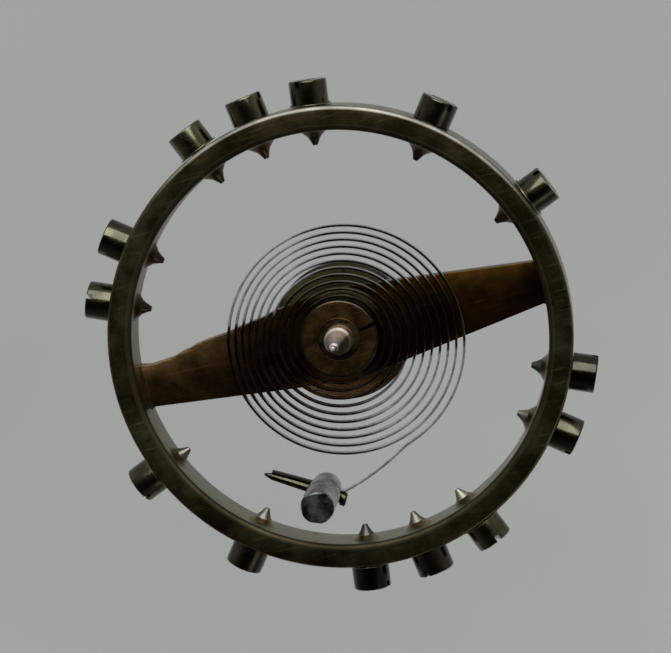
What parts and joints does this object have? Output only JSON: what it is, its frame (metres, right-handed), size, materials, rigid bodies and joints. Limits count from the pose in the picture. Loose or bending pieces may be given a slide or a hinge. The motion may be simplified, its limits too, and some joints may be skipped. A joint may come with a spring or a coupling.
{
  "type": "watch balance wheel",
  "caption": "Screwed balance wheel of a small mechanical watch with its staff, rollers, collet, flat hairspring and stud.",
  "frame": {"origin": "on the staff's axis, half way up the rim", "axes": "+Z runs along the staff to the hairspring side, and +X along one arm of the wheel"},
  "size_m": [0.01, 0.0104, 0.0034],
  "materials": {
    "wheel_metal": "polished, warm nickel tone, tarnished",
    "screw_metal": "turned and polished, tarnished",
    "washer_metal": "thin rolled sheet",
    "collet_metal": "turned, broken edges",
    "pin_brass": "drawn, filed ends",
    "roller_metal": "turned, flat polished",
    "polished_steel": "hard polished steel",
    "spring_steel": "rolled strip, bright",
    "stud_steel": "turned steel, filed top",
    "ruby": "polished ruby"
  },
  "bodies": {
    "stud": {"stud": "stud_steel", "stud_pin": "pin_brass"},
    "balance": {"balance_wheel": "wheel_metal", "balance_staff": "polished_steel", "impulse_roller": "roller_metal", "safety_roller": "roller_metal", "impulse_jewel": "ruby", "collet": "collet_metal", "collet_pin": "pin_brass", "hairspring": "spring_steel", "timing_screw_01": "screw_metal", "timing_screw_02": "screw_metal", "timing_screw_03": "screw_metal", "timing_screw_04": "screw_metal", "timing_screw_05": "screw_metal", "timing_screw_06": "screw_metal", "timing_screw_07": "screw_metal", "timing_screw_08": "screw_metal", "timing_screw_09": "screw_metal", "timing_screw_10": "screw_metal", "timing_screw_11": "screw_metal", "timing_screw_12": "screw_metal", "timing_screw_13": "screw_metal", "timing_screw_14": "screw_metal", "timing_washer_01": "washer_metal", "timing_washer_03": "washer_metal", "timing_washer_05": "washer_metal", "timing_washer_08": "washer_metal", "timing_washer_10": "washer_metal", "timing_washer_12": "washer_metal"}
  },
  "joints": [
    {"name": "balance_swing", "type": "hinge", "parent": "stud", "child": "balance", "pos_m": [0, 0, 0], "axis": [0, 0, 1], "range_deg": [-270, 270], "stiffness_Nm_per_rad": 0.0000007, "deforming": ["hairspring"]}
  ]
}
